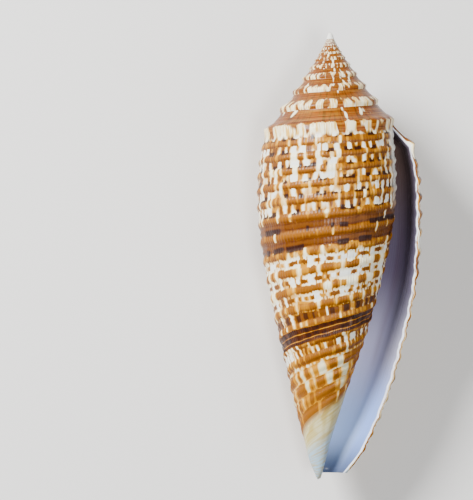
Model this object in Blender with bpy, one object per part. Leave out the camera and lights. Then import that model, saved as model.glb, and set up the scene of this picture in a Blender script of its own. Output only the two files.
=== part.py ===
"""A tall-spired cone shell with beaded spiral cords, lying on its back with its aperture up.

The shell is one piece: a wall that coils round an axis and widens as it grows. The script
builds it in its own frame first, with the apex at the origin, the axis along -Y, the lip
towards +X and the aperture open to +Z, and then lays it down as it rests on a table.

Two numbers place a point on the wall. Its turn counts whorls back from the lip: 0 at the
lip, -1 one whorl earlier. Its depth is how far it lies from the apex along the axis.
"""

import math

import bmesh
import bpy
from mathutils import Euler, Vector

MM = 0.001

# The whole shell
LENGTH = 70.0 * MM
FLATTENING = 0.93  # its thickness from front to back, as a share of a round shell's

# How much a whorl outgrows the one before it
RADIUS_GROWTH = 1.34
DEPTH_GROWTH = 1.29

# Outlines of the body whorl, as (depth, radius), from the shoulder to the front end
LIP_OUTLINE = (
    (17.5, 12.55), (22.7, 13.5), (27.8, 13.7), (33.0, 13.65), (38.2, 13.3), (43.3, 12.65),
    (48.5, 11.8), (53.6, 10.75), (58.8, 9.4), (64.0, 7.6), (66.6, 6.4), (69.2, 4.5),
)
LEFT_OUTLINE = (
    (15.4, 10.65), (20.7, 11.7), (26.1, 12.0), (31.5, 11.6), (37.0, 10.7), (42.4, 9.45),
    (47.9, 7.9), (53.3, 6.25), (58.8, 4.6), (64.2, 2.8), (67.0, 1.9), (68.8, 1.05), (69.7, 0.5),
)
INNER_OUTLINE = (
    (13.5, 9.4), (19.0, 9.7), (24.7, 9.8), (30.4, 9.3), (36.0, 8.3), (41.7, 7.0),
    (47.4, 5.65), (53.0, 4.2), (58.7, 2.8), (64.3, 1.5), (67.2, 1.05), (70.0, 0.45),
)
LIP_TURN, LEFT_TURN, INNER_TURN = 0.0, -0.5, -1.0
LIP_END = 69.2 * MM  # depth of the lip's front end, a little short of the columella's tip
COLUMELLA_FROM, COLUMELLA_TO = -0.42, -0.75  # turns between which the end reaches the tip
TIP_ROUND = 0.25 * MM  # how far the rounded tip stands past the columella's edge

# The coiling axis bows to the lip's side and then swings left to the tip
AXIS_BOW = 0.93 * MM
AXIS_SWING = 1.9 * MM

# Spire
SPIRE_TURNS = 8
SUTURE_DROP = 0.22  # a whorl joins the one before it this share of the way down to its shoulder
RAMP_HOLLOW = 0.12 * MM  # how far the ramp above the shoulder is dished
PLAIN_RAMP_TURN = -3.0  # whorls before this are too small to dish
RAMP_STOPS = (0.45, 1.0)  # where its rows lie, as shares of the way down to the shoulder

# Spiral cords: the depth of each main cord where it meets the lip
CORDS = (20.5, 23.1, 25.7, 28.4, 31.2, 34.3, 37.6, 41.0, 44.4, 47.8, 51.1, 54.4, 57.6,
         60.5, 63.1, 65.6, 68.1, 70.5)
CORD_HEIGHT = 0.34 * MM
CORD_WIDTH = 0.36  # half width, as a share of the space between main cords
THREAD_HEIGHT = 0.15 * MM  # the lesser cord between two main ones
THREAD_FROM = 5  # threads stand out from this main cord on
FRONT_BAND = 72.0 * MM  # below this depth at the lip there are no cords
FRONT_ROWS = 6
ROW_RESERVE = 0.1 * MM  # least height of a row that the lip's front end squeezes

# Lip and wall
LIP_FORWARD = 14 / 360  # the lip's upper half reaches this much further round, in turns
FORWARD_FROM, FORWARD_TO = 0.32, 0.62  # shares of its height between which that fades out
LIP_BEVEL = 1.0 / 360  # the lip's inner edge lies this far behind its outer edge, in turns
LIP_EDGE = 0.6 * MM
WALL = 1.3 * MM
WALL_RUN = 4.0 * MM  # distance from an edge over which the wall reaches its full thickness
CORNER_DEPTH = 19.4 * MM  # the aperture's upper corner, as a cord's depth at the lip
ROOF_GAIN = 0.7 * MM  # the roof thickens by this much
ROOF_GAIN_TURNS = 1 / 6  # over this much of a whorl
ROOF_SHARE = 0.8  # the shoulder's height above the hollow, as a share of the wall

# The hollow winds back round the columella by this many turns: all round behind the
# shoulder, and less towards the front end, where the columella fills the shell
HOLLOW_BACK = 0.85
HOLLOW_FRONT = 0.30
HOLLOW_EVEN_TO = 0.3  # share of the body's height with the hollow at its longest

# Fineness
COLUMNS = 40  # round one whorl; HOLLOW_FRONT times this is a whole number
INNER_COLUMNS = 17
INNER_ROWS = 20

# How the shell lies: rolled towards its left side, with the narrow end tipped down
ROLL = math.radians(-15.4)
PITCH = math.radians(3.8)

# Three granules of its back carry the shell, as (column, cord). They stand out a little
# further than all else, because it would rock on any one small face of its round back.
RESTS_ON = ((13, 4), (10, 4), (11, 7))
REST_CLEARANCE = 0.07 * MM

SHELL_COLOUR = (0.74, 0.55, 0.34, 1.0)


def metres(outline):
    return [(depth * MM, radius * MM) for depth, radius in outline]


OUTLINES = [metres(o) for o in (INNER_OUTLINE, LEFT_OUTLINE, LIP_OUTLINE)]


def smooth(x):
    x = min(max(x, 0.0), 1.0)
    return x * x * (3 - 2 * x)


def hermite(y0, y1, slope0, slope1, x):
    """A cubic from y0 to y1 for x from 0 to 1, with these end slopes."""
    return (
        (2 * x**3 - 3 * x**2 + 1) * y0
        + (x**3 - 2 * x**2 + x) * slope0
        + (3 * x**2 - 2 * x**3) * y1
        + (x**3 - x**2) * slope1
    )


def outline_radius(outline, share):
    """Radius on an outline, this share of the way from its shoulder to its front end."""
    last = len(outline) - 1
    depth = outline[0][0] + (outline[last][0] - outline[0][0]) * min(max(share, 0.0), 1.0)
    i = max(k for k in range(last) if k == 0 or outline[k][0] <= depth)

    def slope(k):
        a, b = outline[max(k - 1, 0)], outline[min(k + 1, last)]
        return (b[1] - a[1]) / (b[0] - a[0])

    (d0, r0), (d1, r1) = outline[i], outline[i + 1]
    step = d1 - d0
    return hermite(r0, r1, slope(i) * step, slope(i + 1) * step, (depth - d0) / step)


def body_radius(turn, share):
    """Radius of the wall at a turn, this share of the way down from its shoulder.

    It runs smoothly through the three outlines, and shrinks steadily before the inner one.
    """
    inner, left, lip = (outline_radius(o, share) for o in OUTLINES)
    if turn < INNER_TURN:
        return inner * RADIUS_GROWTH ** (turn - INNER_TURN)
    first, second = left - inner, lip - left
    middle = 2 * first * second / (first + second) if first * second > 0 else 0.0
    place = (turn - INNER_TURN) / (LEFT_TURN - INNER_TURN)
    if place <= 1:
        return hermite(inner, left, 1.5 * first - 0.5 * middle, middle, place)
    last_slope = 1.5 * second - 0.5 * middle
    if place <= 2:
        return hermite(left, lip, middle, last_slope, place - 1)
    return lip + last_slope * (place - 2)


def grown(depth_at_lip, turn):
    """Depth at a turn of the spiral line that meets the lip at this depth."""
    return depth_at_lip * DEPTH_GROWTH**turn


def shoulder_depth(turn):
    return grown(LIP_OUTLINE[0][0] * MM, turn)


def end_depth(turn):
    """Depth of the front end: the columella reaches further than the lip."""
    reach = smooth((COLUMELLA_FROM - turn) / (COLUMELLA_FROM - COLUMELLA_TO))
    return LIP_END + (LENGTH - LIP_END) * reach


def share_of(turn, depth):
    top = shoulder_depth(turn)
    return (depth - top) / (end_depth(turn) - top)


def suture_depth(turn):
    """Where the whorl at a turn joins the whorl one turn before it."""
    before = shoulder_depth(turn - 1)
    return before + SUTURE_DROP * (shoulder_depth(turn) - before)


def cord_relief(depth_at_lip):
    """Height of the spiral cords above the hollows between them."""

    def ridge(distance, half_width):
        return math.cos(math.pi / 2 * min(abs(distance) / half_width, 1.0)) ** 2

    height = 0.0
    for k, cord in enumerate(CORDS):
        space = (CORDS[k + 1] - cord if k + 1 < len(CORDS) else cord - CORDS[k - 1]) * MM
        height += CORD_HEIGHT * ridge(depth_at_lip - cord * MM, CORD_WIDTH * space)
        if THREAD_FROM <= k < len(CORDS) - 1:
            height += THREAD_HEIGHT * ridge(
                depth_at_lip - cord * MM - space / 2, (0.5 - CORD_WIDTH) * space
            )
    return height


def place(turn, depth, radius):
    """A point in the shell's own frame."""
    along = depth / LENGTH
    axis_x = AXIS_BOW * math.sin(math.pi * along) - AXIS_SWING * along**2
    angle = 2 * math.pi * turn
    return Vector(
        (axis_x + radius * math.cos(angle), -depth, FLATTENING * radius * math.sin(angle))
    )


def outer_point(turn, depth):
    """A point on the outside of the wall at or below the shoulder, with its cords."""
    size = RADIUS_GROWTH ** min(turn, 0.0)
    relief = cord_relief(depth / DEPTH_GROWTH**turn) - CORD_HEIGHT / 2
    share = share_of(turn, depth)
    fade = smooth((1 - share) / 0.06) * smooth(share / 0.03)
    return place(turn, depth, body_radius(turn, share) + relief * size * fade)


def ramp_point(turn, share):
    """A point on the ramp, from the suture (0) down to the shoulder (1)."""
    suture, shoulder = suture_depth(turn), shoulder_depth(turn)
    suture_radius = body_radius(turn - 1, share_of(turn - 1, suture))
    shoulder_radius = body_radius(turn, 0.0)
    dish = RAMP_HOLLOW * RADIUS_GROWTH**turn * 4 * share * (1 - share)
    return place(
        turn,
        suture + (shoulder - suture) * share + dish,
        suture_radius + (shoulder_radius - suture_radius) * share - dish,
    )


def cord_rows():
    """Depths at the lip of the rows that follow the cords: their tops and the hollows."""
    rows = [CORNER_DEPTH]
    for k, cord in enumerate(CORDS[:-1]):
        space = CORDS[k + 1] - cord
        stops = (0.0, CORD_WIDTH, 1 - CORD_WIDTH)
        if k >= THREAD_FROM:
            stops = (0.0, CORD_WIDTH, 0.5, 1 - CORD_WIDTH)
        rows += [(cord + space * stop) * MM for stop in stops]
    return rows + [CORDS[-1] * MM, FRONT_BAND]


CORD_ROWS = cord_rows()


def lip_shift(share):
    """How much further round than turn 0 the lip's edge lies, at a share of its height."""
    return LIP_FORWARD * smooth((FORWARD_TO - share) / (FORWARD_TO - FORWARD_FROM))


def near_lip(turn):
    """1 at the lip, falling to 0 a quarter of a whorl behind it."""
    return smooth(1 + 4 * turn)


def body_depth(turn, row):
    """Depth of a body row: the cords' own rows first, and then the front band's."""
    last = len(CORD_ROWS) - 1
    cord_row = min(row, last)
    end = end_depth(turn)
    reserve = ROW_RESERVE * (last - cord_row + FRONT_ROWS)
    depth = min(grown(CORD_ROWS[cord_row], turn), end - reserve)
    return depth + (end - depth) * (row - cord_row) / FRONT_ROWS


def body_row_point(turn, row):
    """A point on a body row, moved round with the growth lines near the lip."""
    shift = lip_shift(share_of(turn, body_depth(turn, row))) * near_lip(turn)
    return outer_point(turn + shift, body_depth(turn + shift, row))


def wall_thickness(turn, depth):
    """Thin at the lip and at the front end, and full further in."""
    from_lip = -turn * 2 * math.pi * body_radius(turn, 0.3)
    from_end = end_depth(turn) - depth
    run = min(from_lip, from_end) / WALL_RUN
    return LIP_EDGE + (WALL - LIP_EDGE) * smooth(run)


def hollow_turns(share):
    """How far back the hollow winds at a share of the body's height, in turns."""
    fall = max(share - HOLLOW_EVEN_TO, 0.0) / (1 - HOLLOW_EVEN_TO)
    return HOLLOW_BACK + (HOLLOW_FRONT - HOLLOW_BACK) * fall


def roof_drop(turn):
    """Depth of the hollow's upper corner below the suture above it."""
    at_lip = grown(CORNER_DEPTH, INNER_TURN) - suture_depth(LIP_TURN)
    return at_lip + ROOF_GAIN * smooth(-turn / ROOF_GAIN_TURNS)


def stitch(bm, one, other):
    """Fills between two lines of vertices, always along the shorter diagonal."""
    i = j = 0
    while i < len(one) - 1 or j < len(other) - 1:
        on_one = (one[i + 1].co - other[j].co).length if i < len(one) - 1 else math.inf
        on_other = (one[i].co - other[j + 1].co).length if j < len(other) - 1 else math.inf
        if on_one <= on_other:
            corners = (one[i], one[i + 1], other[j])
            i += 1
        else:
            corners = (one[i], other[j + 1], other[j])
            j += 1
        if len(set(corners)) == 3:
            bm.faces.new(corners)


def fan(bm, centre, ring):
    for a, b in zip(ring, ring[1:] + ring[:1]):
        bm.faces.new((centre, a, b))


def outside(bm):
    """The spire and the body whorl.

    A ramp line runs from the suture over the shoulder to the suture of the next whorl, whose
    vertex it shares. In the last whorl a body line goes on from there to the front end.
    """
    turns = [-j / COLUMNS for j in range(SPIRE_TURNS * COLUMNS + 1)]
    sutures = [bm.verts.new(ramp_point(turn, 0.0)) for turn in turns]
    ramps, bodies = [], []
    for j, turn in enumerate(turns):
        shift = lip_shift(0.0) * near_lip(turn)
        stops = RAMP_STOPS if turn >= PLAIN_RAMP_TURN else RAMP_STOPS[-1:]
        ramp = [bm.verts.new(ramp_point(turn + shift * stop, stop)) for stop in stops]
        if j < COLUMNS:
            point = outer_point(turn + shift, suture_depth(turn + shift + 1))
            below = bm.verts.new(point)
        else:
            below = sutures[j - COLUMNS]
        ramps.append([sutures[j]] + ramp + [below])
        if j <= COLUMNS:
            rows = range(len(CORD_ROWS) + FRONT_ROWS)
            bodies.append([below] + [bm.verts.new(body_row_point(turn, row)) for row in rows])
    for lines in (ramps, bodies):
        for here, following in zip(lines, lines[1:]):
            stitch(bm, here, following)
    apex = bm.verts.new(place(0.0, 0.0, 0.0))
    fan(bm, apex, sutures[-COLUMNS - 1 :] + ramps[-1][1:-1])
    return ramps, bodies


def stand_on_granules(bm, bodies):
    """Lowers the granules that the shell rests on to one level, below all else."""
    turned = Euler((PITCH, ROLL, 0.0)).to_matrix()
    level = min((turned @ v.co).z for v in bm.verts) - REST_CLEARANCE
    for column, cord in RESTS_ON:
        granule = bodies[column][1 + CORD_ROWS.index(CORDS[cord] * MM)]
        laid = turned @ granule.co
        granule.co = turned.transposed() @ Vector((laid.x, laid.y, level))


def hollow_turn(step, share):
    """Turn of a line in the hollow, this many steps behind the lip."""
    return -LIP_BEVEL - (hollow_turns(share) - LIP_BEVEL) * step / INNER_COLUMNS


def core_point(step, share):
    """A point on the whorl before, which the hollow winds round."""
    turn = hollow_turn(step, share)
    top = suture_depth(turn) + roof_drop(turn)
    turn += INNER_TURN
    depth = top + (end_depth(turn) - top) * share
    return place(turn, depth, body_radius(turn, share_of(turn, depth)) - CORD_HEIGHT / 2)


def lining_point(step, share):
    """A point on the inside of the outer wall."""
    turn = hollow_turn(step, share)
    top = shoulder_depth(turn)
    top += ROOF_SHARE * wall_thickness(turn, top)
    depth = top + (end_depth(turn) - top) * share
    inset = wall_thickness(turn, depth)
    turn += lip_shift(share_of(turn, depth)) * near_lip(turn)
    return place(turn, depth, body_radius(turn, share_of(turn, depth)) - inset)


def inside(bm, ramps, bodies):
    """The hollow: its core, its lining, its blind end, the lip's edge and the front end."""
    shares = [row / INNER_ROWS for row in range(INNER_ROWS + 1)]
    steps = range(INNER_COLUMNS + 1)
    parietal = bodies[-1][1:]
    core = [parietal]
    core += [[bm.verts.new(core_point(step, share)) for share in shares] for step in steps[1:]]
    lining = [
        [core[step][0]] + [bm.verts.new(lining_point(step, share)) for share in shares]
        for step in steps
    ]
    for lines in (core, lining):
        for here, following in zip(lines, lines[1:]):
            stitch(bm, here, following)
    stitch(bm, ramps[0][:-1] + bodies[0], lining[0])
    stitch(bm, core[-1], lining[-1])
    front = round(HOLLOW_FRONT * COLUMNS)
    ends = [line[-1] for line in bodies]
    core_ends = [line[-1] for line in core[1:]]
    lining_ends = [line[-1] for line in lining]
    stitch(bm, ends[: front + 1], lining_ends)
    bm.faces.new((ends[front], lining_ends[-1], core_ends[-1]))
    tip = bm.verts.new(place(0.0, LENGTH + TIP_ROUND, 0.0))
    fan(bm, tip, ends[front:] + core_ends)


def shell_material():
    material = bpy.data.materials.new("shell")
    material.use_nodes = True
    shader = material.node_tree.nodes["Principled BSDF"]
    shader.inputs["Base Color"].default_value = SHELL_COLOUR
    shader.inputs["Roughness"].default_value = 0.3
    shader.inputs["Metallic"].default_value = 0.0
    return material


def lay_down(shell):
    """Turns the shell to how it rests, centred over the origin with its lowest point at 0."""
    turned = Euler((PITCH, ROLL, 0.0)).to_matrix()
    points = [turned @ v.co for v in shell.data.vertices]
    low = Vector([min(p[i] for p in points) for i in range(3)])
    high = Vector([max(p[i] for p in points) for i in range(3)])
    shell.rotation_euler = Euler((PITCH, ROLL, 0.0))
    shell.location = (-(low.x + high.x) / 2, -(low.y + high.y) / 2, -low.z)


def make_shell():
    bm = bmesh.new()
    ramps, bodies = outside(bm)
    stand_on_granules(bm, bodies)
    inside(bm, ramps, bodies)
    bmesh.ops.recalc_face_normals(bm, faces=bm.faces)
    mesh = bpy.data.meshes.new("shell")
    bm.to_mesh(mesh)
    bm.free()
    mesh.shade_smooth()
    mesh.set_sharp_from_angle(angle=math.radians(50))
    mesh.materials.append(shell_material())
    shell = bpy.data.objects.new("shell", mesh)
    lay_down(shell)
    return shell


def main():
    for old in list(bpy.data.objects):
        bpy.data.objects.remove(old)
    collection = bpy.data.collections.new("cone_shell")
    bpy.context.scene.collection.children.link(collection)
    collection.objects.link(make_shell())


main()
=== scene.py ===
"""The cone shell's finished look: its full surface, its markings, and a plain studio.

The surface follows the same growth laws as the solid that it replaces. It is made in the
shell's own frame, with the apex at the origin, the axis along -Y, the lip towards +X and the
aperture open to +Z, and is then laid down where the solid lies.

Two numbers place a point on the wall. Its turn counts whorls back from the lip: 0 at the
lip, -1 one whorl earlier. Its depth is how far it lies from the apex along the axis.
"""

import math

import bmesh
import bpy
import numpy as np
from mathutils import Euler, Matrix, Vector

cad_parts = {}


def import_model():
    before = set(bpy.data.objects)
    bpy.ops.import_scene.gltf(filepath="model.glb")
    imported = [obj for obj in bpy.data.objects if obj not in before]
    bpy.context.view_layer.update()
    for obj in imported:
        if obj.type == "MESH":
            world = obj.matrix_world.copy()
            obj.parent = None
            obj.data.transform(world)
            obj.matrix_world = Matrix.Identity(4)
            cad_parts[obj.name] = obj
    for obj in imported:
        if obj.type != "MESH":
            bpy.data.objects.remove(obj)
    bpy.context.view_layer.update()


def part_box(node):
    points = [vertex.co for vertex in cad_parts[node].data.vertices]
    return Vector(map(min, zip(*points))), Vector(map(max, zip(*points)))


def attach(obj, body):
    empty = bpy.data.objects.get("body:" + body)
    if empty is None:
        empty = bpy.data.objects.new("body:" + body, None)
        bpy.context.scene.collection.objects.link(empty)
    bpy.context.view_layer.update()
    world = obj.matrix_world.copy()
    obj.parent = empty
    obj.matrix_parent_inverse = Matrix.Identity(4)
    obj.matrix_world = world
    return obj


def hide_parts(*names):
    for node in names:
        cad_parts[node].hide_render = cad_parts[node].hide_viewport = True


MM = 0.001

# The whole shell, as its solid has it
LENGTH = 70.0 * MM
FLATTENING = 0.93  # depth from front to back, as a share of a round shell's
RADIUS_GROWTH = 1.34  # in a whorl
DEPTH_GROWTH = 1.29

# Outlines of the body whorl, as (depth, radius) in millimetres, from shoulder to front end
LIP_OUTLINE = (
    (17.5, 12.55), (22.7, 13.5), (27.8, 13.7), (33.0, 13.65), (38.2, 13.3), (43.3, 12.65),
    (48.5, 11.8), (53.6, 10.75), (58.8, 9.4), (64.0, 7.6), (66.6, 6.4), (69.2, 4.5),
)
LEFT_OUTLINE = (
    (15.4, 10.65), (20.7, 11.7), (26.1, 12.0), (31.5, 11.6), (37.0, 10.7), (42.4, 9.45),
    (47.9, 7.9), (53.3, 6.25), (58.8, 4.6), (64.2, 2.8), (67.0, 1.9), (68.8, 1.05), (69.7, 0.5),
)
INNER_OUTLINE = (
    (13.5, 9.4), (19.0, 9.7), (24.7, 9.8), (30.4, 9.3), (36.0, 8.3), (41.7, 7.0),
    (47.4, 5.65), (53.0, 4.2), (58.7, 2.8), (64.3, 1.5), (67.2, 1.05), (70.0, 0.45),
)
LIP_TURN, LEFT_TURN, INNER_TURN = 0.0, -0.5, -1.0  # where these outlines lie
LIP_END = 69.2 * MM  # depth at which the lip ends
COLUMELLA_FROM, COLUMELLA_TO = -0.42, -0.75  # turns between which the wall reaches further
TIP_ROUND = 0.25 * MM  # how far the front tip stands out
AXIS_BOW = 0.93 * MM  # how far the axis bows towards the lip
AXIS_SWING = 1.9 * MM  # how far its front end swings back

# Spire
SPIRE_TURNS = 12
SUTURE_DROP = 0.22  # share of a whorl's step by which a suture lies below a shoulder
RAMP_HOLLOW = 0.12 * MM  # how far the ramp above the shoulder is dished
HOLLOW_TO = 0.72  # share of the way down the ramp where its dish ends
RAMP_STOPS = (0.08, 0.2, 0.34, 0.48, 0.6, 0.72, 0.86, 1.0)  # shares of the way down it
RAMP_THREADS = 6  # fine spiral threads on a ramp
RAMP_THREAD_HEIGHT = 0.05 * MM
SHOULDER_RISE = 0.18 * MM  # how far the shoulder stands out from the ramp
SHOULDER_EARLY = 0.2  # share of the ramp by which the rise starts before the dish ends
RISE_UP, RISE_OUT = 0.4, 0.7  # its parts towards the apex and away from the axis
KNOB_HEIGHT = 0.24 * MM  # how much further its small knobs stand out
SHOULDER_KNOBS = 24  # in a whorl
KNOB_SWAY, KNOB_SWAY_RATE = 0.8, 9.0  # how far and how fast their spacing sways
WALL_STOPS = (0.4, 0.8)  # rows between a shoulder and the suture under it
WALL_BULGE = 0.14 * MM

# The apex: the sizes of the rings that round it off, as shares of its rim
APEX_RINGS = (0.95, 0.85, 0.66, 0.42, 0.18)
APEX_BLUNTNESS = 3.2
APEX_RADIUS = 0.42 * MM

# Spiral cords: the depth of each main cord where it meets the lip, in millimetres
CORDS = (20.5, 23.1, 25.7, 28.4, 31.2, 34.3, 37.6, 41.0, 44.4, 47.8, 51.1, 54.4, 57.6,
         60.5, 63.1, 65.6, 68.1, 70.5)
PAST_CORDS = 2.6  # millimetres from the first and last cord to the next whole number
CORD_STOPS = (0.0, 0.13, 0.26, 0.37, 0.5, 0.63, 0.74, 0.87)  # rows from one cord to the next
CORD_HEIGHT = 0.36 * MM
CORD_WIDTH = 0.36  # half a cord's width, as a share of the step to the next one
THREAD_HEIGHT = 0.15 * MM
THREAD_WIDTH = 0.13
FAINT_THREAD = 0.45  # share of that height which threads have higher up
THREAD_FROM = 5  # the cord from which they have all of it
PAST_ENDS = 0.6  # how far past the first and last cord they reach, in cord numbers
LAST_FADE = 0.5  # over how much of that they end
BEADS = 120  # granules on a cord in one whorl
BEAD_RELIEF = 0.30  # their height, as a share of the cord's
STRIA_HEIGHT = 0.012 * MM
SUTURE_NUMBER = -0.73  # the cord number at the suture over a whorl's cords
RAMP_NUMBER, SHOULDER_NUMBER = -2.0, -1.0  # those at the top and foot of a ramp
FRONT_SPAN = 3.0  # how many the number counts up past the last cord

# Slight unevenness of growth
WOBBLE = 0.06 * MM
WOBBLE_WAVES = (  # strength, waves in a whorl, lean from cord to cord, start
    (1.0, 5.3, 0.21, 0.0),
    (0.6, 12.7, -0.13, 1.0),
    (0.4, 29.1, 0.0, 2.2),
)

# Where relief fades out: shares of the wall at its top and front end, then cord numbers
TOP_FADE, END_FADE = 0.03, 0.06
FADE_FROM_CORD, FADE_CORDS = 13, 4
CORD_FADE, WOBBLE_FADE = 0.55, 0.9

# Lip and wall
LIP_FORWARD = 14 / 360  # turns by which the lip's upper part stands forward
FORWARD_FROM, FORWARD_TO = 0.32, 0.62  # shares of the wall between which that ends
FORWARD_TURNS = 1 / 4  # how far behind the lip it ends
LIP_BEVEL = 1.0 / 360  # turns from the lip's edge back to its inner line
LIP_EDGE = 0.60 * MM  # thickness of the lip's edge
INNER_LINE_TURN = 0.007  # the turn that its inner line is marked with
WALL = 1.3 * MM  # full thickness
WALL_RUN = 4.0 * MM  # from the edge to where it is reached
GIRTH_AT = 0.3  # share of the wall at which that run is measured
RIPPLE = 0.5  # share of the cords' height that shows on the lip's inside
RIPPLE_TURNS = 0.05  # how far behind the lip it does
RIPPLE_FADE = 0.08  # share of the aperture over which it ends at the front

# The hollow
CORNER_DEPTH = 19.4 * MM  # depth of its top where it meets the lip
ROOF_GAIN = 0.7 * MM  # how much lower its roof lies further in
ROOF_GAIN_TURNS = 1 / 6
ROOF_SHARE = 0.8  # the roof's thickness, as a share of the wall's
HOLLOW_BACK, HOLLOW_FRONT = 0.85, 0.30  # turns it reaches back, at its top and front end
HOLLOW_EVEN_TO = 0.3  # share of the way down to which it reaches back as far

# Fineness of the mesh
COLUMNS = 480  # in the last whorl
SPIRE_COLUMNS = (COLUMNS, 240, 120, 72)  # in the last whorl and those before it
INNER_COLUMNS = 27  # along the hollow
FRONT_BAND = 72.0 * MM  # depth at the lip from which rows close in on the front end
FRONT_ROWS = 12
ROW_RESERVE = 0.03 * MM  # least distance between them
WELD = 0.001 * MM

# How the shell lies
ROLL = math.radians(-15.4)
PITCH = math.radians(3.8)

# The camera, which looks straight at the aperture's side
PHOTO_HEIGHT = 500  # pixels
PHOTO_WIDTH = 473
PIXELS_LONG = 445  # the shell's length in the photograph
APEX_PIXEL = (330.0, 33.0)  # where its apex is in the photograph
LENS = 400.0
SENSOR = 36.0
CAMERA_REACH = 10.0

# The studio
FLOOR_SIZE = 3.0
FLOOR_COLOUR = (0.82, 0.81, 0.79, 1.0)
FLOOR_ROUGHNESS = 0.9
WORLD_COLOUR = (0.93, 0.95, 1.0, 1.0)
WORLD_STRENGTH = 0.14
LIGHTS = (  # name, (to the right, towards the spire, towards the camera), width, watts
    ("key", (-0.27, 0.24, 0.36), 0.18, 7.1),
    ("fill", (0.42, -0.10, 0.35), 0.40, 0.8),
    ("front", (0.10, -0.08, 0.60), 0.16, 2.2),
)

# Colours of the outside as the eye names them, red, green and blue from 0 to 255
CREAM = (252, 244, 206)
BLUE_WHITE = (238, 240, 232)
PALE_OCHRE = (222, 175, 80)
OCHRE = (184, 123, 4)
DEEP_OCHRE = (134, 79, 1)
CHESTNUT = (78, 34, 0)
PURPLE_BROWN = (38, 12, 8)
RAMP_BROWN = (130, 60, 0)
FRONT_CREAM = (204, 197, 152)
TIP_WHITE = (150, 180, 200)
STAIN = (172, 146, 64)

# Colours of the inside, from the top of the aperture down, then the painted shade near the lip
# The two greys high up are partly painted shade over the lining's brownish and lilac tint
INNER_TOP = (142, 116, 108)
INNER_UPPER = (142, 130, 158)
INNER_MIDDLE = (228, 226, 250)
INNER_BLUE = (192, 218, 255)
INNER_END = (84, 98, 130)
INNER_STREAK = (108, 62, 76)
INNER_SHADE = (70, 65, 79)
INNER_SHADE_MIDDLE = (124, 122, 140)
INNER_SHADE_LOW = (118, 146, 214)
EDGE_WHITE = (228, 233, 246)

# Zones of the markings, from one cord number to another
MID_BAND = (4.95, 6.75)
UNDER_MID = (6.62, 6.88)
OPEN_NET = (7.0, 10.3)
OVER_LOW = (10.3, 10.72)
LOW_BAND = (11.08, 11.98)
TO_FRONT_PATTERN = (12.6, 14.0)
TO_FRONT_END = (17.1, 17.9)
TO_TIP = (18.2, 19.4)

# Noise patterns: changes in a whorl, changes from cord to cord, seed, detail
RAGGED = (170.0, 3.0, 1.0, 1.0)
BENDS = (26.0, 1.0, 15.0, 0.0)
SWAY = (11.0, 0.35, 2.0, 1.0)
BARS = (70.0, 0.85, 14.0, 0.0)
SQUARES = (88.0, 5.7, 4.0, 0.0)
DASHES = (70.0, 7.3, 3.0, 0.0)
PATCHES = (9.0, 0.35, 6.0, 0.0)
FLAMES = (36.0, 0.28, 5.0, 1.0)
LONG_DASHES = (42.0, 4.3, 16.0, 0.0)
LONG_THREADS = (50.0, 6.1, 17.0, 0.0)
TICKS = (44.0, 0.3, 18.0, 0.0)
FRONT_SQUARES = (30.0, 5.9, 19.0, 0.0)
SPOTS = (44.0, 3.1, 8.0, 0.0)
TONE = (45.0, 1.7, 7.0, 2.0)
STREAKS = (40.0, 0.8, 9.0, 1.0)
FINE_LINES = (200.0, 1.0, 10.0, 1.0)
SPIRAL_LINES = (5.0, 26.0, 11.0, 0.0)
FRONT_LINES = (3.0, 9.0, 12.0, 2.0)
FRONT_STAIN = (9.0, 1.0, 13.0, 1.0)
GRAIN = (300.0, 6.0, 13.0, 1.0)
GROWTH_LINES = (420.0, 0.7, 14.0, 1.0)
EVEN_BARS = 41.0  # in a whorl, which make the bars more regular

# Noise patterns of the aperture: one with changes in a whorl and down the aperture, and one
# with changes down the aperture alone
INNER_SWAY = (14.0, 3.0, 11.0, 1.0)
RIM_MARKS = (60.0, 0.0, 12.0, 0.0)

# Gloss and fine relief of the surface
ROUGHNESS, ROUGHNESS_GRAIN = 0.30, 0.16
HOLLOW_SMOOTHER = 0.1
SPECULAR_LEVEL = 0.2
COAT_WEIGHT = 0.08
COAT_ROUGHNESS = 0.12
BUMP_STRENGTH = 0.5
BUMP_HEIGHT = 0.05 * MM


def smooth(x):
    x = np.clip(x, 0.0, 1.0)
    return x * x * (3 - 2 * x)


def hermite(y0, y1, slope0, slope1, x):
    """A cubic from y0 at x = 0 to y1 at x = 1, with these slopes at its ends."""
    return (
        (2 * x**3 - 3 * x**2 + 1) * y0
        + (x**3 - 2 * x**2 + x) * slope0
        + (3 * x**2 - 2 * x**3) * y1
        + (x**3 - x**2) * slope1
    )


def outline_radius(outline, share):
    """Radius on an outline, this share of the way from its shoulder to its front end."""
    depths, radii = np.array(outline).T * MM
    depth = depths[0] + (depths[-1] - depths[0]) * np.clip(share, 0.0, 1.0)
    slopes = np.empty(len(depths))
    slopes[1:-1] = (radii[2:] - radii[:-2]) / (depths[2:] - depths[:-2])
    slopes[0] = (radii[1] - radii[0]) / (depths[1] - depths[0])
    slopes[-1] = (radii[-1] - radii[-2]) / (depths[-1] - depths[-2])
    i = np.clip(np.searchsorted(depths, depth, side="right") - 1, 0, len(depths) - 2)
    step = depths[i + 1] - depths[i]
    x = (depth - depths[i]) / step
    return hermite(radii[i], radii[i + 1], slopes[i] * step, slopes[i + 1] * step, x)


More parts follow.
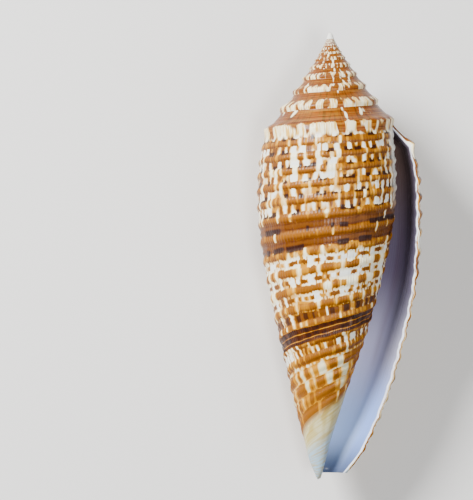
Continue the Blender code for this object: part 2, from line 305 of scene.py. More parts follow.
def body_radius(turn, share):
    """Radius of the wall at a turn, this share of the way down from its shoulder.

    Cubics join the three outlines. The slope in the middle is the harmonic mean of both steps.
    """
    turn, share = np.broadcast_arrays(np.asarray(turn, float), np.asarray(share, float))
    inner = outline_radius(INNER_OUTLINE, share)
    left = outline_radius(LEFT_OUTLINE, share)
    lip = outline_radius(LIP_OUTLINE, share)
    first, second = left - inner, lip - left
    product = first * second
    total = np.where(product > 0, first + second, 1.0)
    middle = np.where(product > 0, 2 * product / total, 0.0)
    place_on = (turn - INNER_TURN) / (LEFT_TURN - INNER_TURN)
    last_slope = 1.5 * second - 0.5 * middle
    return np.select(
        [turn < INNER_TURN, place_on <= 1, place_on <= 2],
        [
            inner * RADIUS_GROWTH ** (turn - INNER_TURN),
            hermite(inner, left, 1.5 * first - 0.5 * middle, middle, place_on),
            hermite(left, lip, middle, last_slope, place_on - 1),
        ],
        lip + last_slope * (place_on - 2),
    )


def grown(depth_at_lip, turn):
    """The depth at a turn of what lies at this depth at the lip."""
    return depth_at_lip * DEPTH_GROWTH**turn


def shoulder_depth(turn):
    return grown(LIP_OUTLINE[0][0] * MM, turn)


def end_depth(turn):
    """Depth of the wall's front end: the lip stops short of the columella's tip."""
    reach = smooth((COLUMELLA_FROM - turn) / (COLUMELLA_FROM - COLUMELLA_TO))
    return LIP_END + (LENGTH - LIP_END) * reach


def share_of(turn, depth):
    """How far down the wall a depth is, from its shoulder (0) to its front end (1)."""
    top = shoulder_depth(turn)
    return (depth - top) / (end_depth(turn) - top)


def suture_depth(turn):
    before = shoulder_depth(turn - 1)
    return before + SUTURE_DROP * (shoulder_depth(turn) - before)


def ridge(distance, half_width):
    """1 on a ridge's crest, falling to 0 at half its width."""
    return np.cos(math.pi / 2 * np.minimum(np.abs(distance) / half_width, 1.0)) ** 2


def cord_number(depth_at_lip):
    """Which cord a depth at the lip is on: whole numbers are main cords."""
    ends = np.array([CORDS[0] - PAST_CORDS] + list(CORDS) + [CORDS[-1] + PAST_CORDS]) * MM
    return np.interp(depth_at_lip, ends, np.arange(len(ends)) - 1.0)


def front_fade(number, share):
    """1 on the body whorl, less this share towards the front end."""
    return 1 - share * smooth((number - FADE_FROM_CORD) / FADE_CORDS)


def cord_relief(number, turn):
    """Height of the cords and their granules above the hollows between them."""
    on_shell = smooth(number + PAST_ENDS)
    on_shell = on_shell * smooth((len(CORDS) - 1 + PAST_ENDS - number) / LAST_FADE)
    bead = 1 - BEAD_RELIEF * (0.5 - 0.5 * np.cos(2 * math.pi * BEADS * turn))
    off_cord = number - np.round(number)
    off_thread = number - np.floor(number) - 0.5
    thread = THREAD_HEIGHT * (FAINT_THREAD + (1 - FAINT_THREAD) * smooth(number - THREAD_FROM + 1))
    stria = STRIA_HEIGHT * np.cos(2 * math.pi * BEADS * turn)
    height = CORD_HEIGHT * ridge(off_cord, CORD_WIDTH) + thread * ridge(off_thread, THREAD_WIDTH)
    return (height * bead * front_fade(number, CORD_FADE) + stria) * on_shell


def wobble(turn, number):
    """Slow unevenness of growth, which changes faster along the whorl than across it."""
    waves = 0.0
    for strength, count, lean, start in WOBBLE_WAVES:
        waves = waves + strength * np.sin(2 * math.pi * count * turn + lean * number + start)
    return WOBBLE * waves


def place(turn, depth, radius):
    """Points in the shell's own frame, one row each."""
    turn, depth, radius = np.broadcast_arrays(turn, depth, radius)
    along = depth / LENGTH
    axis_x = AXIS_BOW * np.sin(math.pi * along) - AXIS_SWING * along**2
    angle = 2 * math.pi * turn
    x = axis_x + radius * np.cos(angle)
    z = FLATTENING * radius * np.sin(angle)
    return np.stack([x, -depth, z], axis=-1)


def outer_points(turn, depth):
    """Points on the outside of the wall, with its cords."""
    size = RADIUS_GROWTH ** np.minimum(turn, 0.0)
    number = cord_number(depth / DEPTH_GROWTH**turn)
    share = share_of(turn, depth)
    fade = smooth((1 - share) / END_FADE) * smooth(share / TOP_FADE)
    relief = (cord_relief(number, turn) - CORD_HEIGHT / 2) * size * fade
    relief = relief + wobble(turn, number) * fade * front_fade(number, WOBBLE_FADE)
    return place(turn, depth, body_radius(turn, share) + relief)


def knob(turn):
    """1 on top of a knob of the shoulder, and 0 between two."""
    sway = KNOB_SWAY * np.sin(KNOB_SWAY_RATE * turn)
    return 0.5 + 0.5 * np.cos(2 * math.pi * SHOULDER_KNOBS * turn + sway)


def ramp_points(turn, share):
    """Points on the ramp, from the suture (0) down to the shoulder (1)."""
    suture, shoulder = suture_depth(turn), shoulder_depth(turn)
    suture_radius = body_radius(turn - 1, share_of(turn - 1, suture))
    shoulder_radius = body_radius(turn, 0.0)
    size = RADIUS_GROWTH**turn
    dished = np.clip(share / HOLLOW_TO, 0.0, 1.0)
    dish = RAMP_HOLLOW * size * 4 * dished * (1 - dished)
    threads = RAMP_THREAD_HEIGHT * size * np.sin(math.pi * dished) ** 2
    threads = threads * np.cos(2 * math.pi * RAMP_THREADS * share)
    lift = (SHOULDER_RISE + KNOB_HEIGHT * knob(turn)) * size
    lift = lift * smooth((share - HOLLOW_TO + SHOULDER_EARLY) / (1 + SHOULDER_EARLY - HOLLOW_TO))
    radius = np.hypot(suture_radius + (shoulder_radius - suture_radius) * share, APEX_RADIUS)
    depth = suture + (shoulder - suture) * share
    depth = depth + dish - RISE_UP * lift
    return place(turn, depth, radius - dish + threads + RISE_OUT * lift)


def wall_points(turn, stop):
    """Points on the short wall between a spire whorl's shoulder and the suture under it."""
    top, foot = ramp_points(turn, 1.0), ramp_points(turn + 1, 0.0)
    angle = 2 * math.pi * turn
    away = np.stack([np.cos(angle), np.zeros_like(angle), np.sin(angle)], axis=-1)
    out = WALL_BULGE * RADIUS_GROWTH**turn * np.sin(math.pi * stop)
    return top + (foot - top) * stop[..., None] + away * out[..., None]


def lip_shift(share):
    """Turns by which the lip stands forward, this share of the way down."""
    return LIP_FORWARD * smooth((FORWARD_TO - share) / (FORWARD_TO - FORWARD_FROM))


def near_lip(turn):
    """1 at the lip, falling to 0 behind it."""
    return smooth(1 + turn / FORWARD_TURNS)


def body_depth_rows():
    """Depth at the lip of each row that follows the cords."""
    rows = [CORNER_DEPTH]
    for k, cord in enumerate(CORDS[:-1]):
        rows += [(cord + (CORDS[k + 1] - cord) * stop) * MM for stop in CORD_STOPS]
    return np.array(rows + [CORDS[-1] * MM, (CORDS[-1] * MM + FRONT_BAND) / 2, FRONT_BAND])


CORD_ROWS = body_depth_rows()


def body_depth(turn, row):
    """Depth of a row. Rows that would pass the front end gather just before it."""
    last = len(CORD_ROWS) - 1
    cord_row = np.minimum(row, last)
    end = end_depth(turn)
    reserve = ROW_RESERVE * (last - cord_row + FRONT_ROWS)
    depth = np.minimum(grown(CORD_ROWS[cord_row], turn), end - reserve)
    return depth + (end - depth) * (row - cord_row) / FRONT_ROWS


def wall_thickness(turn, depth):
    from_lip = -turn * 2 * math.pi * body_radius(turn, GIRTH_AT)
    from_end = end_depth(turn) - depth
    return LIP_EDGE + (WALL - LIP_EDGE) * smooth(np.minimum(from_lip, from_end) / WALL_RUN)


def hollow_turns(share):
    """How many turns the hollow reaches back, this share of the way down."""
    fall = np.maximum(share - HOLLOW_EVEN_TO, 0.0) / (1 - HOLLOW_EVEN_TO)
    return HOLLOW_BACK + (HOLLOW_FRONT - HOLLOW_BACK) * fall


def roof_drop(turn):
    """How far the hollow's inner top lies below the suture over it."""
    at_lip = grown(CORNER_DEPTH, INNER_TURN) - suture_depth(LIP_TURN)
    return at_lip + ROOF_GAIN * smooth(-turn / ROOF_GAIN_TURNS)


class Surface:
    """Collects patches of surface, and what the markings need to know at each corner.

    turn and cord say where a corner is; inner is 0 outside and 1 in the hollow, and changes
    smoothly where they meet; edge is 1 on the lip's edge; across is the share of the way down
    the aperture.
    """

    NAMES = ("turn", "cord", "inner", "edge", "across")

    def __init__(self):
        self.points, self.values, self.faces = [], [], []

    def add(self, points, turn, cord, inner=0.0, edge=0.0, across=0.0):
        """Adds points and returns their numbers, in the same grid."""
        start = sum(len(p) for p in self.points)
        shape = points.shape[:-1]
        values = [np.broadcast_to(v, shape).ravel() for v in (turn, cord, inner, edge, across)]
        self.points.append(points.reshape(-1, 3))
        self.values.append(np.stack(values, axis=-1))
        return np.arange(start, start + points[..., 0].size).reshape(shape)

    def grid(self, numbers):
        """Fills a grid of numbers with faces of four corners."""
        a, b = numbers[:-1, :-1], numbers[1:, :-1]
        c, d = numbers[1:, 1:], numbers[:-1, 1:]
        self.faces += np.stack([a, b, c, d], axis=-1).reshape(-1, 4).tolist()

    def stitch(self, one, other):
        """Fills between two lines of numbers, always along the shorter diagonal."""
        points = np.concatenate(self.points)
        i = j = 0
        while i < len(one) - 1 or j < len(other) - 1:
            on_one = on_other = math.inf
            if i < len(one) - 1:
                on_one = np.linalg.norm(points[one[i + 1]] - points[other[j]])
            if j < len(other) - 1:
                on_other = np.linalg.norm(points[one[i]] - points[other[j + 1]])
            if on_one <= on_other:
                self.faces.append([one[i], one[i + 1], other[j]])
                i += 1
            else:
                self.faces.append([one[i], other[j + 1], other[j]])
                j += 1

    def fan(self, centre, ring):
        for a, b in zip(ring[:-1], ring[1:]):
            self.faces.append([centre, a, b])

    def mesh(self, name):
        """One closed mesh: corners keep their own values where patches are joined."""
        points = np.concatenate(self.points)
        values = np.concatenate(self.values)
        mesh = bpy.data.meshes.new(name)
        mesh.from_pydata(points.tolist(), [], self.faces)
        corners = np.array([v for face in self.faces for v in face])
        for k, attribute in enumerate(self.NAMES):
            layer = mesh.attributes.new(attribute, "FLOAT", "CORNER")
            layer.data.foreach_set("value", values[corners, k].astype(np.float32))
        bm = bmesh.new()
        bm.from_mesh(mesh)
        bmesh.ops.remove_doubles(bm, verts=bm.verts, dist=WELD)
        bmesh.ops.recalc_face_normals(bm, faces=bm.faces)
        bm.to_mesh(mesh)
        open_edges = sum(not e.is_manifold for e in bm.edges)
        triangles = sum(len(f.verts) - 2 for f in bm.faces)
        print("shell mesh:", triangles, "triangles,", open_edges, "open edges")
        bm.free()
        mesh.shade_smooth()
        return mesh


def spire_turns():
    """The turns at which the spire's lines have points, from the lip back to the apex."""
    turns = []
    for whorl in range(SPIRE_TURNS):
        count = SPIRE_COLUMNS[min(whorl, len(SPIRE_COLUMNS) - 1)]
        turns += [-whorl - k / count for k in range(count)]
    return np.array(turns + [-float(SPIRE_TURNS)])


def add_spire(surface):
    """The ramps of all whorls, each joined to the whorl below it, and the rounded apex."""
    turns = spire_turns()
    stops = np.array((0.0,) + RAMP_STOPS)
    turn, stop = turns[:, None], stops[None, :]
    moved = turn + lip_shift(0.0) * near_lip(turn) * stop
    ramps = surface.add(ramp_points(moved, stop), turn, RAMP_NUMBER + stop)
    surface.grid(ramps)
    own = turn[COLUMNS:]
    stops = np.array((0.0,) + WALL_STOPS)[None, :]
    numbers = SUTURE_NUMBER + (stops - 1) * (SUTURE_NUMBER - SHOULDER_NUMBER)
    walls = surface.add(wall_points(own, stops), own, numbers)
    surface.grid(walls)
    shared = turns[turns >= 1 - SPIRE_TURNS]
    below = surface.add(ramp_points(shared, 0.0), shared - 1, SUTURE_NUMBER)
    surface.stitch(walls[:, -1], below)
    surface.faces.append([*walls[0], below[0]])
    top = turns <= 1 - SPIRE_TURNS
    rim = np.concatenate([ramps[top, 0], ramps[-1, 1:], walls[-1, 1:], below[-1:]])
    add_apex(surface, rim)
    return ramps


def add_apex(surface, rim):
    """A blunt round tip over the first whorl's rim."""
    points = np.concatenate(surface.points)[rim]
    rings = [points]
    for size in APEX_RINGS:
        ring = points * size
        ring[:, 1] = points[:, 1].mean() * size**APEX_BLUNTNESS
        rings.append(ring)
    numbers = surface.add(np.stack(rings), -SPIRE_TURNS, RAMP_NUMBER)
    surface.grid(numbers)
    tip = surface.add(np.zeros((1, 3)), -SPIRE_TURNS, RAMP_NUMBER)[0]
    surface.fan(tip, numbers[-1])


def body_rows():
    """Row numbers, and which cord each row is on."""
    rows = np.arange(len(CORD_ROWS) + FRONT_ROWS)
    past = np.maximum(rows - len(CORD_ROWS) + 1, 0) / FRONT_ROWS
    numbers = cord_number(CORD_ROWS[np.minimum(rows, len(CORD_ROWS) - 1)]) + FRONT_SPAN * past
    return rows, numbers


def add_body(surface):
    """The last whorl from its shoulder to the front end. Returns the grid of its rows."""
    turn = -np.arange(COLUMNS + 1) / COLUMNS
    moved = turn + lip_shift(0.0) * near_lip(turn)
    shoulder = ramp_points(moved, 1.0)
    below = outer_points(moved, suture_depth(moved + 1))
    below[-1] = ramp_points(np.array(0.0), np.array(0.0))
    rows, numbers = body_rows()
    turns, rows = turn[:, None], rows[None, :]
    shift = lip_shift(share_of(turns, body_depth(turns, rows))) * near_lip(turns)
    moved = turns + shift
    points = outer_points(moved, body_depth(moved, rows))
    points = np.concatenate([shoulder[:, None], below[:, None], points], axis=1)
    numbers = np.concatenate([[SHOULDER_NUMBER, SUTURE_NUMBER], numbers])
    grid = surface.add(points, turns, numbers[None, :])
    surface.grid(grid)
    return grid


def hollow_turn(step, share):
    """The turn of a step along the hollow, from the lip's edge back."""
    return -LIP_BEVEL - (hollow_turns(share) - LIP_BEVEL) * step / INNER_COLUMNS


def core_points(step, share):
    """Points on the whorl before, which the hollow winds round."""
    turn = hollow_turn(step, share)
    top = suture_depth(turn) + roof_drop(turn)
    turn = turn + INNER_TURN
    depth = top + (end_depth(turn) - top) * share
    return place(turn, depth, body_radius(turn, share_of(turn, depth)) - CORD_HEIGHT / 2)


def lining_points(step, share):
    """Points on the inside of the outer wall."""
    turn = hollow_turn(step, share)
    top = shoulder_depth(turn)
    top = top + ROOF_SHARE * wall_thickness(turn, top)
    depth = top + (end_depth(turn) - top) * share
    inset = wall_thickness(turn, depth)
    number = cord_number(depth / DEPTH_GROWTH**turn)
    ripple = RIPPLE * cord_relief(number, 0.0) * smooth(1 + turn / RIPPLE_TURNS)
    ripple = ripple * smooth((1 - share) / RIPPLE_FADE)
    turn = turn + lip_shift(share_of(turn, depth)) * near_lip(turn)
    return place(turn, depth, body_radius(turn, share_of(turn, depth)) - inset + ripple)


def add_hollow(surface, ramps, body):
    """The hollow: its core, its lining, its blind end, the lip's edge and the front end."""
    everything = np.concatenate(surface.points)
    rows, numbers = body_rows()
    depth = body_depth(INNER_TURN, rows)
    share = ((depth - depth[0]) / (depth[-1] - depth[0]))[None, :]
    step = np.arange(INNER_COLUMNS + 1)[:, None]
    parietal = everything[body[-1, 2:]]
    core = core_points(step, share)
    core[0] = parietal
    turn = hollow_turn(step, share)
    cores = surface.add(core, turn - 1, numbers[None, :], inner=smooth(step), across=share)
    surface.grid(cores)
    lining = np.concatenate([core[:, :1], lining_points(step, share)], axis=1)
    lining_share = np.concatenate([[0.0], share[0]])[None, :]
    lining_turn = np.concatenate([turn[:, :1], turn], axis=1)
    linings = surface.add(lining, lining_turn, 0.0, inner=1.0, across=lining_share)
    surface.grid(linings)
    outer = np.concatenate([ramps[0], body[0, 1:]])
    ramp_numbers = RAMP_NUMBER + np.array((0.0,) + RAMP_STOPS)
    outer_numbers = np.concatenate([ramp_numbers, [SUTURE_NUMBER], numbers])
    edge_share = np.linspace(0.0, 1.0, len(outer))
    outer = surface.add(everything[outer], 0.0, outer_numbers, edge=1.0, across=edge_share)
    inner_numbers = np.concatenate([numbers[:1], numbers])
    inner = surface.add(lining[0], INNER_LINE_TURN, inner_numbers, 1.0, 1.0, lining_share[0])
    surface.stitch(outer, inner)
    surface.stitch(cores[-1], linings[-1])
    front = round(HOLLOW_FRONT * COLUMNS)
    rim = surface.add(everything[body[: front + 1, -1]], 0.0, 0.0, inner=1.0, edge=1.0, across=1.0)
    surface.stitch(rim, linings[:, -1])
    end = everything[body[front : front + 1, -1]]
    corner = surface.add(end, -HOLLOW_FRONT, 0.0, inner=1.0, across=1.0)
    surface.faces.append([corner[0], linings[-1, -1], cores[-1, -1]])
    tip = place(np.array(0.0), np.array(LENGTH + TIP_ROUND), np.array(0.0))
    tip = surface.add(tip[None, :], INNER_TURN, numbers[-1])[0]
    surface.fan(tip, np.concatenate([body[front:, -1], cores[1:, -1], body[front, -1:]]))


def lay_down(mesh):
    """Turns the shell to how it rests and fits its box to the solid's."""
    turned = np.array(Euler((PITCH, ROLL, 0.0)).to_matrix())
    points = np.empty(len(mesh.vertices) * 3)
    mesh.vertices.foreach_get("co", points)
    points = points.reshape(-1, 3) @ turned.T
    low, high = (np.array(corner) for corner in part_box("shell"))
    move = (low + high) / 2 - (points.min(axis=0) + points.max(axis=0)) / 2
    move[2] = low[2] - points[:, 2].min()
    mesh.vertices.foreach_set("co", (points + move).ravel())
    mesh.update()
    return Vector(move)


def make_shell():
    surface = Surface()
    ramps = add_spire(surface)
    body = add_body(surface)
    add_hollow(surface, ramps, body)
    mesh = surface.mesh("cone_shell")
    move = lay_down(mesh)
    shell = bpy.data.objects.new("cone_shell", mesh)
    bpy.context.scene.collection.objects.link(shell)
    return shell, move


def add_floor():
    bpy.ops.mesh.primitive_plane_add(size=FLOOR_SIZE)
    floor = bpy.context.object
    floor.name = "floor"
    material = bpy.data.materials.new("floor")
    material.use_nodes = True
    shader = material.node_tree.nodes["Principled BSDF"]
    shader.inputs["Base Color"].default_value = FLOOR_COLOUR
    shader.inputs["Roughness"].default_value = FLOOR_ROUGHNESS
    floor.data.materials.append(material)


def add_light(name, position, target, size, power):
    data = bpy.data.lights.new(name, "AREA")
    data.shape = "DISK"
    data.size = size
    data.energy = power
    light = bpy.data.objects.new(name, data)
    light.location = position
    light.rotation_euler = (target - position).to_track_quat("-Z", "Y").to_euler()
    bpy.context.scene.collection.objects.link(light)


def add_studio(apex):
    """The camera straight above the aperture's side, and soft light round it."""
    turned = Euler((PITCH, ROLL, 0.0)).to_matrix()
    right, up, towards = turned.col[0], turned.col[1], turned.col[2]
    pixel = LENGTH / PIXELS_LONG
    centre = apex - right * pixel * (APEX_PIXEL[0] - PHOTO_WIDTH / 2)
    centre -= up * pixel * (PHOTO_HEIGHT / 2 - APEX_PIXEL[1])
    distance = LENS / SENSOR * pixel * PHOTO_HEIGHT
    camera = bpy.data.objects.new("camera", bpy.data.cameras.new("camera"))
    camera.data.lens = LENS
    camera.data.sensor_width = SENSOR
    camera.data.clip_end = CAMERA_REACH
    camera.location = centre + towards * distance
    camera.rotation_euler = Euler((PITCH, ROLL, 0.0))
    bpy.context.scene.collection.objects.link(camera)
    bpy.context.scene.camera = camera
    target = apex - up * LENGTH / 2
    for name, (side, along, height), size, power in LIGHTS:
        position = target + right * side + up * along + towards * height
        add_light(name, position, target, size, power)
    world = bpy.data.worlds.new("studio")
    world.use_nodes = True
    background = world.node_tree.nodes["Background"]
    background.inputs["Color"].default_value = WORLD_COLOUR
    background.inputs["Strength"].default_value = WORLD_STRENGTH
    bpy.context.scene.world = world


class Shader:
    """Short calls for a material's nodes.

    An input is a node's output, a plain number, or a colour as the eye names it.
    """

    def __init__(self, material):
        material.use_nodes = True
        self.tree = material.node_tree
        self.principled = self.tree.nodes["Principled BSDF"]

    def put(self, socket, value):
        if isinstance(value, bpy.types.NodeSocket):
            self.tree.links.new(value, socket)
        elif isinstance(value, tuple):
            socket.default_value = linear_colour(value)
        else:
            socket.default_value = value

    def math(self, operation, *values):
        node = self.tree.nodes.new("ShaderNodeMath")
        node.operation = operation
        for socket, value in zip(node.inputs, values):
            self.put(socket, value)
        return node.outputs[0]

    def add(self, *values):
        total = values[0]
        for value in values[1:]:
            total = self.math("ADD", total, value)
        return total

    def times(self, *values):
        total = values[0]
        for value in values[1:]:
            total = self.math("MULTIPLY", total, value)
        return total

    def less(self, a, b):
        return self.math("SUBTRACT", a, b)

    def off(self, mask):
        return self.math("SUBTRACT", 1.0, mask)

    def most(self, *values):
        total = values[0]
        for value in values[1:]:
            total = self.math("MAXIMUM", total, value)
        return total

    def mix(self, factor, a, b):
        """Like blend, for plain numbers."""
        return self.add(a, self.times(factor, self.less(b, a)))

    def rise(self, x, low, high):
        """0 below low, 1 above high, and smooth between. high may be the lower one."""
        node = self.tree.nodes.new("ShaderNodeMapRange")
        node.interpolation_type = "SMOOTHSTEP"
        flip = high < low
        limits = (high, low, 1.0, 0.0) if flip else (low, high, 0.0, 1.0)
        self.put(node.inputs["Value"], x)
        for name, value in zip(("From Min", "From Max", "To Min", "To Max"), limits):
            node.inputs[name].default_value = value
        return node.outputs[0]

    def window(self, x, low, high, soft):
        """1 between low and high, and 0 outside."""
        above = self.rise(x, low - soft, low + soft)
        return self.times(above, self.rise(x, high + soft, high - soft))

    def attribute(self, name):
        node = self.tree.nodes.new("ShaderNodeAttribute")
        node.attribute_name = name
        return node.outputs["Fac"]

    def noise(self, x, y, pattern):
        """Noise over two measures. A pattern says how fast it changes with each of them."""
        x_changes, y_changes, seed, detail = pattern
        joined = self.tree.nodes.new("ShaderNodeCombineXYZ")
        self.put(joined.inputs[0], self.times(x, x_changes))
        self.put(joined.inputs[1], self.times(y, y_changes))
        joined.inputs[2].default_value = seed
        node = self.tree.nodes.new("ShaderNodeTexNoise")
        node.inputs["Scale"].default_value = 1.0
        node.inputs["Detail"].default_value = detail
        self.tree.links.new(joined.outputs[0], node.inputs["Vector"])
        return node.outputs["Fac"]

    def blend(self, factor, a, b):
        """Colour a where the factor is 0, and b where it is 1."""
        node = self.tree.nodes.new("ShaderNodeMix")
        node.data_type = "RGBA"
        self.put(node.inputs["Factor"], factor)
        self.put(node.inputs["A"], a)
        self.put(node.inputs["B"], b)
        colours = [o for o in node.outputs if o.type == "RGBA"]
        return colours[0]


def linear_colour(named):
    """The renderer's linear values of a colour as the eye names it, from 0 to 255."""
    linear = []
    for value in (part / 255 for part in named):
        linear.append(value / 12.92 if value <= 0.04045 else ((value + 0.055) / 1.055) ** 2.4)
    return (*linear, 1.0)


class Net:
    """Where a point lies in the net of the body whorl: on a cord or between two, and in which
    zone. Turn and cord are bent a little first, so that no marking has a straight edge.
    """

    def __init__(self, shader, turn, cord):
        times, add, less, rise = shader.times, shader.add, shader.less, shader.rise
        self.turn = add(turn, times(0.10, rise(cord, 8.0, 18.0)))
        ragged = less(shader.noise(self.turn, cord, RAGGED), 0.5)
        bend = less(shader.noise(self.turn, cord, BENDS), 0.5)
        self.cord = add(cord, times(bend, 0.16))
        self.nearest = shader.math("ROUND", self.cord)
        self.gap = shader.math("FLOOR", self.cord)
        self.below = less(self.cord, self.nearest)
        self.off_cord = add(shader.math("ABSOLUTE", self.below), times(ragged, 0.2))
        self.open = shader.window(self.cord, *OPEN_NET, 0.3)
        self.front = rise(self.cord, *TO_FRONT_PATTERN)
        self.mid_band = shader.window(self.cord, *MID_BAND, 0.08)
        self.low_band = shader.window(self.cord, *LOW_BAND, 0.06)
        width = add(0.26, times(self.open, -0.05), times(self.front, 0.19))
        self.crest = rise(less(width, self.off_cord), -0.07, 0.07)
        self.thread = rise(self.off_cord, 0.35, 0.43)
        self.spots = shader.noise(self.turn, self.gap, SPOTS)
        over_low = shader.window(self.cord, *OVER_LOW, 0.08)
        self.over_low = times(over_low, rise(self.spots, 0.40, 0.46))


def net_pigment(shader, net):
    """How brown a point of the net is: ochre above 0, and white below."""
    times, add, less, rise = shader.times, shader.add, shader.less, shader.rise
    mix, off, noise = shader.mix, shader.off, shader.noise
    turn, cord, nearest, gap = net.turn, net.cord, net.nearest, net.gap
    lean_brown = times(less(noise(turn, cord, PATCHES), 0.5), 0.2)
    flame = rise(less(noise(turn, cord, FLAMES), lean_brown), 0.60, 0.68)
    swayed = add(times(turn, EVEN_BARS), times(noise(turn, cord, SWAY), 2.4))
    even = shader.math("COSINE", times(2 * math.pi, swayed))
    bars = add(noise(turn, cord, BARS), times(even, 0.12))
    dashes = noise(turn, nearest, DASHES)
    squares = noise(turn, gap, SQUARES)
    on_crest = less(add(times(dashes, 0.8), times(bars, 0.2)), 0.395)
    in_gap = less(add(times(bars, 0.55), times(squares, 0.45)), 0.487)

    long_dashes = less(noise(turn, nearest, LONG_DASHES), 0.41)
    long_threads = less(noise(turn, gap, LONG_THREADS), 0.44)
    ticks = shader.window(noise(turn, cord, TICKS), 0.47, 0.54, 0.02)
    ticks = less(times(ticks, 0.14), 0.05)
    front_squares = less(noise(turn, nearest, FRONT_SQUARES), 0.39)
    on_crest = mix(net.open, on_crest, long_dashes)
    on_crest = mix(net.front, on_crest, front_squares)
    in_gap = mix(net.open, in_gap, mix(net.thread, ticks, long_threads))
    in_gap = mix(net.front, in_gap, -0.03)

    pigment = add(mix(net.crest, in_gap, on_crest), lean_brown)
    pigment = add(pigment, times(flame, mix(net.crest, -0.3, -0.025), off(net.front)))
    pigment = add(pigment, times(net.over_low, 0.3), times(rise(cord, 13.8, 16.6), 0.10))
    pigment = add(pigment, times(net.mid_band, mix(net.crest, 0.4, 0.09)))
    return add(pigment, times(net.low_band, 0.3))


def net_colour(shader, net, pigment, tone):
    """White, ochre and brown, deeper where there is more pigment, with painted shade in chestnut
    on a cord's lower side.
    """
    times, rise, off, blend = shader.times, shader.rise, shader.off, shader.blend
    result = blend(rise(net.off_cord, 0.15, 0.45), CREAM, BLUE_WHITE)
    result = blend(times(rise(net.cord, 12.0, 14.5), 0.8), result, FRONT_CREAM)
    result = blend(times(rise(pigment, -0.08, -0.005), 0.8), result, PALE_OCHRE)
    result = blend(rise(pigment, -0.02, 0.03), result, OCHRE)
    deep = shader.add(rise(pigment, 0.04, 0.14), shader.less(tone, 0.5))
    deep = times(rise(pigment, 0.0, 0.02), rise(deep, 0.1, 0.9))
    result = blend(deep, result, DEEP_OCHRE)
    # Painted shade: chestnut on each cord's lower flank, weaker towards the front end; between
    # cords, where pigment is strong, the brown is the shell's own
    painted_shade_and_brown = times(rise(net.below, 0.02, 0.24), net.crest, off(times(net.front, 0.8)))
    painted_shade_and_brown = shader.most(painted_shade_and_brown, times(off(net.crest), rise(pigment, 0.05, 0.12), 0.7))
    result = blend(times(painted_shade_and_brown, rise(pigment, 0.0, 0.03), 0.8), result, CHESTNUT)
    between = times(off(net.crest), off(times(net.thread, 0.7)))
    between = times(between, net.mid_band, rise(pigment, 0.05, 0.1))
    return blend(times(between, rise(tone, 0.1, 0.7)), result, CHESTNUT)


def low_band_colour(shader, net, tone):
    """Dark brown, with three finer ochre lines to a cord."""
    rise, blend = shader.rise, shader.blend
    dark = blend(rise(tone, 0.35, 0.75), PURPLE_BROWN, CHESTNUT)
    ochre = blend(rise(tone, 0.4, 0.6), DEEP_OCHRE, OCHRE)
    lines = shader.math("SINE", shader.times(net.cord, 3 * 2 * math.pi))
    return blend(rise(lines, 0.95, 0.80), ochre, dark)


def dark_spots(shader, net, pigment):
    """1 on the dark dashes below the upper cords, under the middle band and over the low one."""
    times, rise, window = shader.times, shader.rise, shader.window
    spots = times(window(net.below, -0.46, -0.14, 0.06), rise(net.spots, 0.485, 0.53))
    spots = times(spots, rise(pigment, -0.02, 0.02), rise(net.cord, 7.6, 6.6))
    under_mid = times(window(net.cord, *UNDER_MID, 0.05), rise(net.spots, 0.50, 0.56))
    over_low = times(net.over_low, rise(net.spots, 0.50, 0.58), 0.8)
    return shader.most(spots, under_mid, over_low)


def body_colour(shader, turn, cord):
    """The net with its bands and spots, and the white glaze where the aperture's inner lip is."""
    times, rise, blend = shader.times, shader.rise, shader.blend
    net = Net(shader, turn, cord)
    pigment = net_pigment(shader, net)
    tone = shader.noise(net.turn, net.cord, TONE)
    result = net_colour(shader, net, pigment, tone)
    result = blend(times(net.low_band, 0.96), result, low_band_colour(shader, net, tone))
    result = blend(times(dark_spots(shader, net, pigment), 0.95), result, PURPLE_BROWN)
    glaze = times(rise(turn, -0.915, -0.945), rise(cord, 6.0, 3.0))
    return blend(times(glaze, 0.85), result, BLUE_WHITE)


def shoulder_colour(shader, turn, cord, body):
    """The brown ramp above a shoulder and the white blotches that run over its edge."""
    times, add, less = shader.times, shader.add, shader.less
    rise, blend = shader.rise, shader.blend
    streaks = shader.noise(turn, cord, STREAKS)
    fine = shader.noise(turn, cord, FINE_LINES)
    spiral = shader.noise(turn, cord, SPIRAL_LINES)
    ramp = blend(rise(fine, 0.3, 0.7), RAMP_BROWN, DEEP_OCHRE)
    ramp = blend(times(rise(spiral, 0.45, 0.62), 0.5), ramp, CHESTNUT)
    ramp = blend(times(rise(fine, 0.47, 0.62), rise(streaks, 0.30, 0.46), 0.8), ramp, CHESTNUT)
    ramp = blend(times(rise(spiral, 0.45, 0.34), 0.2), ramp, PALE_OCHRE)
    ramp = blend(rise(streaks, 0.65, 0.70), ramp, CREAM)
    knobs = shader.math("COSINE", times(turn, 2 * math.pi * SHOULDER_KNOBS))
    whiter = add(times(rise(turn, -1.4, -1.15), 0.07), times(rise(turn, -4.0, -7.0), -0.04))
    blotch = rise(add(streaks, times(knobs, 0.07), whiter), 0.46, 0.53)
    streaked = times(rise(fine, 0.42, 0.56), rise(streaks, 0.70, 0.53))
    band = blend(blotch, ramp, blend(streaked, CREAM, PALE_OCHRE))
    high = times(rise(turn, -1.15, -1.4), -0.32)
    uneven = times(less(add(times(streaks, 0.6), times(fine, 0.4)), 0.5), 0.8)
    edge = add(cord, uneven)
    result = blend(rise(less(edge, high), -1.10, -1.02), ramp, band)
    result = blend(rise(edge, -0.6, -0.25), result, body)
    pale = add(times(rise(turn, -7.5, -9.5), 0.2), times(rise(turn, -10.8, -11.6), 0.7))
    return blend(pale, result, BLUE_WHITE)


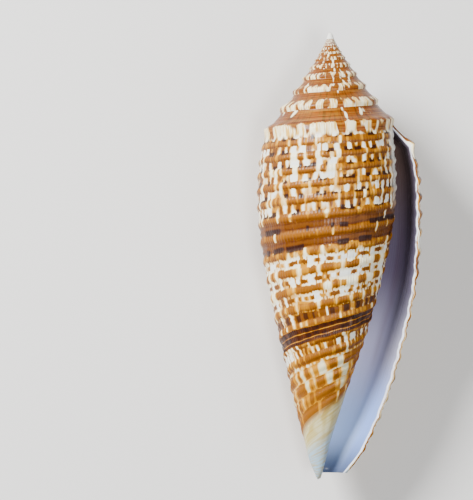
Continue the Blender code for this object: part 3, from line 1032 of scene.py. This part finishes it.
def front_colour(shader, turn, cord, lines, body):
    """The plain cream front end, with curved growth lines and a faint ochre stain."""
    times, rise, blend = shader.times, shader.rise, shader.blend
    plain = blend(rise(cord, *TO_TIP), FRONT_CREAM, TIP_WHITE)
    plain = blend(times(rise(lines, 0.42, 0.62), 0.6), plain, STAIN)
    stain = rise(shader.noise(turn, cord, FRONT_STAIN), 0.44, 0.58)
    plain = blend(times(stain, rise(cord, 19.4, 17.4), 0.8), plain, STAIN)
    ragged = shader.add(cord, times(shader.less(lines, 0.5), 0.8))
    return blend(rise(ragged, *TO_FRONT_END), body, plain)


def inner_colour(shader, turn, across):
    """Porcelain: brownish grey high in the aperture, then lilac, pale blue and grey. The greys
    high up are partly painted shade, and painted shade darkens the lining near the lip.
    """
    times, rise, blend, window = shader.times, shader.rise, shader.blend, shader.window
    # Brownish and lilac grey high up: partly painted shade of the deep hollow, partly the lining's
    # own tint
    result = blend(rise(across, 0.0, 0.35), INNER_TOP, INNER_UPPER)
    result = blend(rise(across, 0.35, 0.62), result, INNER_MIDDLE)
    result = blend(rise(across, 0.60, 0.88), result, INNER_BLUE)
    # Painted shade where the lip's inside lies in shadow: grey high up, lilac-grey, then blue
    # lower down, laid nine tenths over the lining
    near_lip = blend(rise(across, 0.42, 0.65), INNER_SHADE, INNER_SHADE_MIDDLE)
    near_lip = blend(rise(across, 0.62, 0.84), near_lip, INNER_SHADE_LOW)
    result = blend(times(rise(turn, -0.11, -0.03), 0.9), result, near_lip)
    sway = shader.less(shader.noise(turn, across, INNER_SWAY), 0.5)
    swayed = shader.add(turn, times(sway, 0.05))
    streak = times(window(swayed, -0.105, -0.088, 0.012), window(across, 0.25, 0.70, 0.12))
    result = blend(times(streak, 0.24), result, INNER_STREAK)
    result = blend(rise(across, 0.87, 1.0), result, INNER_END)
    return blend(rise(turn, -0.007, -0.003), result, EDGE_WHITE)


def shell_material():
    material = bpy.data.materials.new("cone_shell")
    shader = Shader(material)
    times, rise, blend, principled = shader.times, shader.rise, shader.blend, shader.principled
    turn, cord = shader.attribute("turn"), shader.attribute("cord")
    inner, edge, across = (shader.attribute(name) for name in ("inner", "edge", "across"))
    front_lines = shader.noise(turn, cord, FRONT_LINES)
    outside = body_colour(shader, turn, cord)
    outside = shoulder_colour(shader, turn, cord, outside)
    outside = front_colour(shader, turn, cord, front_lines, outside)
    marks = times(rise(shader.noise(across, 0.0, RIM_MARKS), 0.62, 0.68), 0.7)
    rim = blend(marks, EDGE_WHITE, DEEP_OCHRE)
    inside = blend(edge, inner_colour(shader, turn, across), rim)
    surface = blend(rise(inner, 0.50, 0.66), outside, inside)
    shader.put(principled.inputs["Base Color"], surface)

    grain = shader.noise(turn, cord, GRAIN)
    roughness = shader.add(ROUGHNESS, times(grain, ROUGHNESS_GRAIN))
    roughness = shader.less(roughness, times(inner, HOLLOW_SMOOTHER))
    shader.put(principled.inputs["Roughness"], roughness)
    principled.inputs["Specular IOR Level"].default_value = SPECULAR_LEVEL
    principled.inputs["Coat Weight"].default_value = COAT_WEIGHT
    principled.inputs["Coat Roughness"].default_value = COAT_ROUGHNESS

    growth = shader.noise(turn, cord, GROWTH_LINES)
    growth = shader.mix(rise(cord, 16.6, 17.6), growth, times(front_lines, 2.0))
    bump = shader.tree.nodes.new("ShaderNodeBump")
    bump.inputs["Strength"].default_value = BUMP_STRENGTH
    bump.inputs["Distance"].default_value = BUMP_HEIGHT
    shader.put(bump.inputs["Height"], times(growth, shader.off(inner)))
    shader.put(principled.inputs["Normal"], bump.outputs["Normal"])
    return material


def main():
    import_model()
    shell, apex = make_shell()
    shell.data.materials.append(shell_material())
    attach(shell, "root")
    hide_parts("shell")
    add_floor()
    add_studio(apex)


main()
